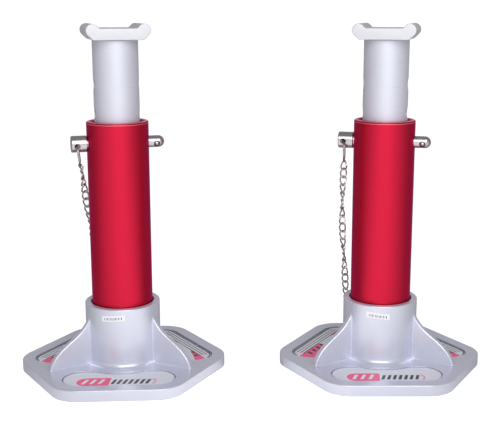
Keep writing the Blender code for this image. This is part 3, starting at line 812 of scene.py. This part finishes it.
def curved_strip(width, height, centre, inner, thickness, turn, tilt, columns):
    """A thin rectangle that follows the collar's curve, as points and faces."""
    lean = math.tan(math.radians(tilt))
    points, faces = [], []
    x0, z0 = centre
    for i in range(columns + 1):
        x = x0 + width * (i / columns - 0.5)
        angle = turn + math.degrees(-x / inner)
        rise = z0 + x * lean
        for radius, z in ((inner, rise - height / 2), (inner + thickness, rise - height / 2),
                          (inner + thickness, rise + height / 2), (inner, rise + height / 2)):
            points.append(around(angle, radius, z))
    for i in range(columns):
        for k in range(4):
            n = (k + 1) % 4
            faces.append((4 * i + k, 4 * i + n, 4 * i + 4 + n, 4 * i + 4 + k))
    faces += [(0, 1, 2, 3), tuple(4 * columns + k for k in range(4))]
    return to_mesh("strip", points, faces)


def sticker_mesh(turn, tilt, height):
    """A paper sticker on the collar with a row of small marks."""
    inner = COLLAR_RADIUS + 0.00005
    paper = curved_strip(STICKER_WIDTH, STICKER_HEIGHT, (0, height), inner, STICKER_PAPER,
                         turn, tilt, 24)
    parts = [(paper, "white")]
    x, gap = -0.0103, 0.0011
    for tenths in (7, 4, 11, 4, 7, 9, 4, 12, 5, 8, 4, 10):
        width = tenths / 10000
        mark = curved_strip(width, 0.0030, (x + width / 2, height - 0.0003), inner + STICKER_PAPER,
                            0.00004, turn, tilt, 2)
        parts.append((mark, "fine_ink"))
        x += width + gap
    return join("sticker", parts)


# ---- Tube, post, saddle and pin ----


def rim(radius, height, edge, quarter, steps=5):
    """A rounded corner of a lathe profile: quarter is its start angle in degrees."""
    cx = radius - edge * (1 if quarter in (0, 270) else -1)
    cz = height - edge * (1 if quarter in (0, 90) else -1)
    return arc((cx, cz), edge, quarter, quarter + 90, steps)


def flared_bore(radius, wide, throat, shoulder, reach, segments):
    """Cutter for a hole along Z that widens from throat to shoulder at both ends."""
    half = [(0, reach), (wide, reach), (wide, shoulder), (radius, throat)]
    return lathe("bore", [(r, -z) for r, z in half] + half[::-1], segments)


def tube_mesh():
    low = SEAT_HEIGHT + GAP
    profile = rim(TUBE_RADIUS, low, 0.001, 270) + [(TUBE_RADIUS, TUBE_TOP - TUBE_ROUND - TUBE_HIGHLIGHT_BAND)]
    profile += rim(TUBE_RADIUS, TUBE_TOP, TUBE_ROUND, 0, 8) + [(TUBE_RADIUS - 0.0040, TUBE_TOP)]
    profile += rim(TUBE_BORE, TUBE_TOP, 0.0008, 90) + rim(TUBE_BORE, low, 0.001, 180)
    tube = lathe("tube", profile, 160)
    hole = flared_bore(HOLE_RADIUS, HOLE_RADIUS + 0.0014, TUBE_RADIUS - 0.0016,
                       TUBE_RADIUS - 0.0002, 0.06, 64)
    across = Matrix.Translation((0, 0, PIN_HEIGHT)) @ turned(90, "Y")
    tube = round_normals(cut(tube, [(hole, across)]))
    tube.materials.append(MATERIALS["red"])
    tube.materials.append(MATERIALS["edge_lightening"])
    # Painted highlight: the top face and a thin band under the rounded top edge take the lighter red.
    for face in tube.polygons:
        x, y, z = face.center
        reach = math.hypot(x, y)
        below_edge = z - (TUBE_TOP - TUBE_ROUND)
        on_top = z > TUBE_TOP - 0.0001 and reach > TUBE_RADIUS - 0.0039
        if on_top or (-TUBE_HIGHLIGHT_BAND < below_edge < 0 and reach > TUBE_RADIUS - 0.0003):
            face.material_index = 1
    return tube


def post_mesh():
    """The post, with its origin at the locking pin's height."""
    top = SADDLE_UNDERSIDE - GAP - PIN_HEIGHT
    bottom = -(POST_HOLES - 1 - HOLES_ABOVE) * POST_PITCH - POST_TAIL
    profile = rim(POST_RADIUS, bottom, 0.0015, 270) + rim(POST_RADIUS, top, 0.0008, 0)
    profile += [(POST_BORE, top), (POST_BORE, bottom)]
    mouth = math.sqrt(POST_RADIUS**2 - HOLE_RADIUS**2)
    hole = flared_bore(HOLE_RADIUS, HOLE_RADIUS + 0.0008, mouth - 0.0005,
                       POST_RADIUS - 0.0006, 0.04, 48)
    cutters = []
    for number in range(POST_HOLES):
        height = (HOLES_ABOVE - number) * POST_PITCH
        cutters.append((hole, Matrix.Translation((0, 0, height)) @ turned(90, "Y")))
    return round_normals(cut(lathe("post", profile, 144), cutters))


def inset_outline(outline, amount):
    """Each point moved in along its corner's normal."""
    points = np.array(outline)
    before, after = points - np.roll(points, 1, 0), np.roll(points, -1, 0) - points
    before /= np.linalg.norm(before, axis=1, keepdims=True)
    after /= np.linalg.norm(after, axis=1, keepdims=True)
    normal = np.stack([-(before + after)[:, 1], (before + after)[:, 0]], 1)
    normal /= np.linalg.norm(normal, axis=1, keepdims=True)
    return [tuple(p) for p in points + amount * normal]


def saddle_mesh():
    """The saddle's section runs along local Y; its origin is at the middle of its underside."""
    lip = (SADDLE_HALF_WIDTH - LIP_RADIUS, SADDLE_LIP - LIP_RADIUS)
    right = [(SADDLE_BASE_HALF - 0.0014, 0), (SADDLE_BASE_HALF - 0.0004, 0.0002),
             (SADDLE_BASE_HALF + 0.0006, 0.0009)]
    right += arc(lip, LIP_RADIUS, -45, 125, 24)
    right += [(SADDLE_FLOOR_HALF + 0.0008, SADDLE_FLOOR + 0.0006),
              (SADDLE_FLOOR_HALF - 0.0002, SADDLE_FLOOR + 0.0001),
              (SADDLE_FLOOR_HALF - 0.0014, SADDLE_FLOOR)]
    outline = right + [(-x, z) for x, z in reversed(right)]
    half, edge = SADDLE_DEPTH / 2, 0.0009
    layers = []
    for turn in range(0, 91, 15):
        a = math.radians(turn)
        narrowed = inset_outline(outline, edge * (1 - math.sin(a)))
        layers.append((narrowed, -half + edge * (1 - math.cos(a))))
    layers += [(outline_points, -z) for outline_points, z in reversed(layers)]
    block = stack("saddle", layers, 30)
    block.transform(turned(90, "X"))
    bore = 0.0053
    sink = [(0, -0.001), (bore, -0.001), (bore, SADDLE_FLOOR - 0.0055)]
    sink += [(bore + wider, SADDLE_FLOOR + z) for wider, z in
             ((0.0045, -0.001), (0.0045, -0.0004), (0.0050, 0.0001), (0.0050, 0.002))]
    sink += [(0, SADDLE_FLOOR + 0.002)]
    return cut(block, [(lathe("sink", sink, 64), Matrix())], 30)


def socket_screw(name, profile, socket_radius, low, high):
    """A turned screw with a hexagon socket in its top."""
    socket = lathe("socket", [(0, low), (socket_radius, low), (socket_radius, high), (0, high)], 6)
    return cut(lathe(name, profile, 64), [(socket, Matrix())])


def saddle_screw_mesh():
    tip, head = -0.022, SADDLE_FLOOR - 0.0012
    neck = SADDLE_FLOOR - 0.0055 + 0.5 * GAP
    edge = 0.005 + head - 0.0003 - neck
    profile = [(0, tip), (0.0044, tip), (0.005, tip + 0.001), (0.005, neck), (edge, head - 0.0003),
               (edge - 0.0002, head), (0.0042, head), (0.0037, head - 0.0003), (0, head - 0.0003)]
    return socket_screw("saddle_screw", profile, 0.0034, head - 0.004, head + 0.001)


def tube_screw_mesh():
    top = COLLAR_RADIUS - 0.0006
    profile = [(0, TUBE_SCREW_TIP), (0.0034, TUBE_SCREW_TIP), (0.004, TUBE_SCREW_TIP + 0.0008)]
    profile += [(0.004, top - 0.0005), (0.0035, top), (0, top)]
    return socket_screw("tube_screw", profile, 0.0023, top - 0.0035, top + 0.001)


def anchor_screw_mesh():
    head = COLLAR_RADIUS + GAP + ANCHOR_STAND_OFF
    start = TUBE_RADIUS + 3 * GAP
    profile = [(0, start), (ANCHOR_SHANK, start), (ANCHOR_SHANK, head), (0.0046, head),
               (0.0048, head + 0.0003), (0.0048, head + 0.0014)]
    profile += arc((0.0034, head + 0.0014), 0.0014, 0, 90, 6) + [(0, head + 0.0028)]
    return socket_screw("anchor_screw", profile, 0.0016, head + 0.001, head + 0.004)


def pin_mesh():
    """The locking pin along its own X axis."""
    profile = [(0, HEAD_END), (HEAD_RADIUS - 0.0011, HEAD_END)]
    profile += arc((HEAD_RADIUS - 0.0011, HEAD_END + 0.0011), 0.0011, 270, 360, 5)
    profile += arc((HEAD_RADIUS - 0.0008, HEAD_START - 0.0008), 0.0008, 0, 90, 5)
    profile += [(PIN_RADIUS + 0.0002, HEAD_START), (PIN_RADIUS, HEAD_START + 0.0004)]
    profile += arc((0, PIN_TIP - PIN_RADIUS), PIN_RADIUS, 0, 90, 14)[:-1] + [(0, PIN_TIP)]
    body = lathe("pin", profile, 96)
    body.transform(turned(90, "Y"))
    mouth = math.sqrt(HEAD_RADIUS**2 - RING_HOLE_RADIUS**2)
    hole = flared_bore(RING_HOLE_RADIUS, RING_HOLE_RADIUS + 0.0005, mouth - 0.0003,
                       mouth + 0.0004, 0.012, 48)
    bore = [(0, -0.004), (BALL_BORE, -0.004), (BALL_BORE, PIN_RADIUS - 0.0005),
            (BALL_BORE + 0.0003, PIN_RADIUS), (BALL_BORE + 0.0003, PIN_RADIUS + 0.003),
            (0, PIN_RADIUS + 0.003)]
    ring_hole = Matrix.Translation((RING_HOLE_PLACE, 0, 0)) @ turned(90, "X")
    ball_hole = Matrix.Translation((BALL_PLACE, 0, 0)) @ turned(90 + BALL_TURN, "X")
    cutters = [(hole, ring_hole), (lathe("ball_bore", bore, 48), ball_hole)]
    return round_normals(cut(body, cutters), axis=0)


def ball_mesh():
    rows = arc((0, 0), BALL_RADIUS, -90, 90, 20)
    rows[0], rows[-1] = (0, -BALL_RADIUS), (0, BALL_RADIUS)
    return lathe("ball", rows, 40)


def split_ring_mesh():
    """Two coils of wire about Z that cross over beside their ends."""
    path = []
    steps = 140
    crossing = math.radians(14)
    for i in range(steps + 1):
        a = crossing + (2 * math.tau - 2 * crossing) * i / steps
        t = min(1, max(0, (a - math.tau + crossing) / (2 * crossing)))
        lift = SPLIT_RING_WIRE * (2 * t * t * (3 - 2 * t) - 1)
        path.append((SPLIT_RING_RADIUS * math.cos(a), SPLIT_RING_RADIUS * math.sin(a), lift))
    return to_mesh("split_ring", *sweep(path, SPLIT_RING_WIRE, 10, (0, 0, 1), closed=False))


# ---- Chain ----


def smooth_path(points, steps=24):
    """A Catmull-Rom curve through the points."""
    ends = [2 * points[0] - points[1], *points, 2 * points[-1] - points[-2]]
    path = []
    for p, q, r, s in zip(ends, ends[1:], ends[2:], ends[3:]):
        for i in range(steps):
            t = i / steps
            path.append(0.5 * (2 * q + (r - p) * t + (2 * p - 5 * q + 4 * r - s) * t**2
                               + (3 * q - p - 3 * r + s) * t**3))
    return path + [points[-1]]


def curb_link(steps=30):
    """One link's centre line along X, with its two ends twisted against each other."""
    path = []
    for i in range(steps):
        a = math.tau * i / steps
        c, s = math.cos(a), math.sin(a)
        x = LINK_HALF_LENGTH * math.copysign(abs(c) ** 0.85, c)
        w = LINK_HALF_WIDTH * math.copysign(abs(s) ** 0.8, s)
        twist = math.radians(LINK_TWIST) * x / LINK_HALF_LENGTH
        path.append((x, w * math.cos(twist), w * math.sin(twist)))
    return np.array(path)


def chain_mesh(route, roll):
    """Curb links along the route; returns the mesh and the route's length."""
    path = np.array([tuple(p) for p in smooth_path(route)])
    lengths = np.concatenate([[0], np.cumsum(np.linalg.norm(np.diff(path, axis=0), axis=1))])
    total = lengths[-1]
    count = round((total - 2 * LINK_HALF_LENGTH) / LINK_PITCH) + 1
    pitch = (total - 2 * LINK_HALF_LENGTH) / (count - 1)
    shape = curb_link()
    points, faces = [], []
    turn_rate = math.radians(90) / CHAIN_QUARTER_TURN
    for number in range(count):
        middle = LINK_HALF_LENGTH + pitch * number
        spots = [np.array([np.interp(middle + d, lengths, path[:, k]) for k in range(3)])
                 for d in (-LINK_HALF_LENGTH, 0, LINK_HALF_LENGTH)]
        along = spots[2] - spots[0]
        along /= np.linalg.norm(along)
        right = np.array([1.0, 0.0, 0.0]) - along[0] * along
        right /= np.linalg.norm(right)
        front = np.cross(along, right)
        a = math.radians(roll) + turn_rate * middle
        side = math.cos(a) * right + math.sin(a) * front
        over = math.cos(a) * front - math.sin(a) * right
        centre = 0.5 * spots[1] + 0.25 * (spots[0] + spots[2])
        line = centre + shape[:, :1] * along + shape[:, 1:2] * side + shape[:, 2:3] * over
        ring, quads = sweep(line, LINK_WIRE, 8, over + 0.35 * along)
        faces += [tuple(len(points) + v for v in quad) for quad in quads]
        points += ring.tolist()
    return to_mesh("chain", points, faces), total


# ---- Assembly ----

pin_low, pin_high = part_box("locking_pin_a")
PIN_HEIGHT = (pin_low[2] + pin_high[2]) / 2

casting = casting_mesh()
labels = {"front": label_mesh(front_print), "left": label_mesh(side_print_and_shadow),
          "right": label_mesh(side_print_and_shadow)}
tube = tube_mesh()
post = post_mesh()
saddle = saddle_mesh()
saddle_screw = saddle_screw_mesh()
tube_screw = tube_screw_mesh()
anchor_screw = anchor_screw_mesh()
pin = pin_mesh()
ball = ball_mesh()
split_ring = split_ring_mesh()

for tag, facts in STANDS.items():
    low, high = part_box(f"guide_ring_{tag}")
    place = Matrix.Translation(((low[0] + high[0]) / 2, (low[1] + high[1]) / 2, 0))
    base = place @ turned(facts["base_turn"])
    head = place @ turned(facts["tube_turn"])
    stand, slider, puller, button = f"stand_{tag}", f"post_{tag}", f"pin_{tag}", f"ball_{tag}"

    show(f"casting_{tag}", casting, "cast", base, stand, [f"base_casting_{tag}"])
    for side, angle in LABEL_ANGLES.items():
        show(f"label_panel_{side}_{tag}", labels[side], None, base @ turned(-angle), stand,
             [f"label_{side}_{tag}"])
    sticker = sticker_mesh(facts["sticker_angle"], facts["sticker_tilt"], facts["sticker_height"])
    show(f"sticker_{tag}", sticker, None, base, stand, [f"serial_sticker_{tag}"])
    for side, angle in TUBE_SCREW_ANGLES.items():
        show(f"grub_screw_{side}_{tag}", tube_screw, "steel", base @ facing(angle, TUBE_SCREW_HEIGHT),
             stand, [f"tube_screw_{side}_{tag}"])
    show(f"tube_{tag}", tube, None, head, stand, [f"outer_tube_{tag}"])

    lifted = head @ Matrix.Translation((0, 0, PIN_HEIGHT))
    show(f"post_tube_{tag}", post, "post", lifted, slider, [f"lifting_post_{tag}"])
    seat = head @ Matrix.Translation((0, 0, SADDLE_UNDERSIDE))
    show(f"saddle_block_{tag}", saddle, "bright", seat, slider, [f"saddle_{tag}"])
    show(f"countersunk_screw_{tag}", saddle_screw, "steel", seat, slider, [f"saddle_screw_{tag}"])

    rolled = lifted @ turned(facts["pin_roll"], "X")
    show(f"pin_body_{tag}", pin, "steel", rolled, puller, [f"locking_pin_{tag}"])
    proud = Vector((0, -(PIN_RADIUS + BALL_PROUD - BALL_RADIUS), 0))
    out = Vector((BALL_PLACE, 0, 0)) + turned(BALL_TURN, "X") @ proud
    show(f"ball_{tag}_steel", ball, "steel", rolled @ Matrix.Translation(out), button,
         [f"detent_ball_{tag}"])
    top = RING_HOLE_RADIUS - SPLIT_RING_WIRE - RING_CLEARANCE
    hang = rolled @ Matrix.Translation((RING_HOLE_PLACE, 0, top))
    hang = hang @ turned(facts["ring_swivel"]) @ turned(-facts["ring_lean"], "Y")
    ring_middle = hang @ Matrix.Translation((0, 0, -SPLIT_RING_RADIUS))
    show(f"key_ring_{tag}", split_ring, "wire", ring_middle @ turned(90, "Y") @ turned(SPLIT_RING_TURN),
         puller, [f"split_ring_{tag}"])

    anchor = base @ facing(ANCHOR_ANGLE, ANCHOR_HEIGHT)
    show(f"shoulder_screw_{tag}", anchor_screw, "steel", anchor, stand, [f"anchor_screw_{tag}"])
    sag = ANCHOR_RING - ANCHOR_WIRE - ANCHOR_SHANK - GAP
    reach = COLLAR_RADIUS + GAP + ANCHOR_STAND_OFF / 2
    circle = [(x, y, 0) for x, y in arc((0, 0), ANCHOR_RING, 0, 360 - 7.5, 47)]
    anchor_ring = to_mesh("anchor_ring", *sweep(circle, ANCHOR_WIRE, 12, (0, 0, 1)))
    spot = base @ Matrix.Translation(around(ANCHOR_ANGLE, reach, -sag))
    spot = spot @ facing(ANCHOR_ANGLE, ANCHOR_HEIGHT)
    show(f"anchor_ring_{tag}", anchor_ring, "wire", spot, stand, [f"anchor_link_{tag}"])

    start = hang @ Vector((0, 0, -2 * SPLIT_RING_RADIUS))
    start += Vector((0, 0, SPLIT_RING_WIRE + LINK_WIRE))
    end = spot.translation + Vector((0, 0, -ANCHOR_RING + ANCHOR_WIRE + LINK_WIRE))
    route = [start] + [place @ around(*point) for point in facts["chain"]] + [end]
    chain, length = chain_mesh(route, facts["chain_roll"])
    print(f"chain_{tag} length {length:.4f}")
    chain.materials.append(MATERIALS["wire"])
    item = placed(f"chain_links_{tag}", chain)
    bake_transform(item)
    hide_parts(f"chain_{tag}")

    for name, finish_name in (("post_plug", "post"), ("guide_ring", "nylon"), ("detent_spring", "wire")):
        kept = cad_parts[f"{name}_{tag}"]
        kept.data.materials.clear()
        kept.data.materials.append(MATERIALS[finish_name])

# ---- Floor, light and camera ----


def arithmetic(tree, operation, *values):
    """A Math node's result over numbers and other nodes' outputs."""
    made = node(tree, "ShaderNodeMath", operation=operation)
    for socket, value in zip(made.inputs, values):
        if isinstance(value, (int, float)):
            socket.default_value = value
        else:
            link(tree, value, socket)
    return made.outputs[0]


def floor_material():
    """White where it is seen; the light that it throws back is strongest in front of the stands."""
    material = bpy.data.materials.new("floor")
    material.use_nodes = True
    tree = material.node_tree
    shader = tree.nodes["Principled BSDF"]
    split = node(tree, "ShaderNodeSeparateXYZ")
    place = node(tree, "ShaderNodeTexCoord").outputs["Object"]
    link(tree, place, split.inputs[0])
    x, y = split.outputs["X"], split.outputs["Y"]
    square = arithmetic(tree, "MULTIPLY", x, x)
    reach = arithmetic(tree, "SQRT", arithmetic(tree, "MULTIPLY_ADD", y, y, square))
    ahead = arithmetic(tree, "DIVIDE", y, arithmetic(tree, "MAXIMUM", reach, 0.02))
    thrown = spread(tree, ahead, FLOOR_SIDE, FLOOR_FRONT, 0.0, -1.0)
    seen = node(tree, "ShaderNodeLightPath").outputs["Is Camera Ray"]
    glow = arithmetic(tree, "ADD", thrown, arithmetic(tree, "MULTIPLY", seen, FLOOR_SEEN))
    link(tree, glow, shader.inputs["Emission Strength"])
    shader.inputs["Emission Color"].default_value = (1, 1, 1, 1)
    paint = blend_colours(tree, noise(tree, place, EVEN, 3), *FLOOR_GREYS)
    link(tree, paint, shader.inputs["Base Color"])
    shader.inputs["Roughness"].default_value = 0.9
    shader.inputs["Specular IOR Level"].default_value = 0.0
    return material


corners = [(-1, -1), (1, -1), (1, 1), (-1, 1)]
floor_mesh = bpy.data.meshes.new("floor")
floor_mesh.from_pydata([(x * FLOOR_HALF, y * FLOOR_HALF, 0) for x, y in corners], [], [(0, 1, 2, 3)])
floor_mesh.materials.append(floor_material())
floor = placed("floor", floor_mesh)
floor.location.z = -FLOOR_DROP

light = bpy.data.lights.new("front_softbox", "AREA")
light.shape = "RECTANGLE"
light.size, light.size_y = SOFTBOX_SIZE
light.energy = SOFTBOX_POWER
softbox = placed("front_softbox", light)
softbox.location = SOFTBOX_PLACE
aim = Vector(SOFTBOX_TARGET) - Vector(SOFTBOX_PLACE)
softbox.rotation_euler = aim.to_track_quat("-Z", "Y").to_euler()
softbox.visible_camera = False

world = bpy.data.worlds.new("studio")
bpy.context.scene.world = world
world.use_nodes = True
tree = world.node_tree
tree.nodes.clear()
split = node(tree, "ShaderNodeSeparateXYZ")
link(tree, node(tree, "ShaderNodeTexCoord").outputs["Generated"], split.inputs[0])
front = spread(tree, split.outputs["Y"], *STUDIO_FRONT)
back = spread(tree, split.outputs["Y"], *STUDIO_BACK)
fade = spread(tree, split.outputs["Z"], *STUDIO_FADE)
level = arithmetic(tree, "MULTIPLY", arithmetic(tree, "ADD", front, back), fade)
level = arithmetic(tree, "ADD", level, spread(tree, split.outputs["Z"], *STUDIO_ABOVE))
studio = node(tree, "ShaderNodeBackground", Color=STUDIO_COLOUR)
link(tree, level, studio.inputs["Strength"])
white = node(tree, "ShaderNodeBackground", Strength=BACKDROP_STRENGTH)
seen = node(tree, "ShaderNodeLightPath").outputs["Is Camera Ray"]
choice = node(tree, "ShaderNodeMixShader")
link(tree, seen, choice.inputs[0])
link(tree, studio.outputs[0], choice.inputs[1])
link(tree, white.outputs[0], choice.inputs[2])
link(tree, choice.outputs[0], node(tree, "ShaderNodeOutputWorld").inputs["Surface"])

camera_data = bpy.data.cameras.new("camera")
camera_data.sensor_width = CAMERA_SENSOR
camera_data.lens = CAMERA_LENS
camera_data.shift_x, camera_data.shift_y = CAMERA_SHIFT
camera = placed("camera", camera_data)
camera.location = CAMERA_PLACE
camera.rotation_euler = (math.radians(90 - CAMERA_DOWN), 0, 0)
bpy.context.scene.camera = camera
bpy.context.scene.view_settings.view_transform = "Standard"
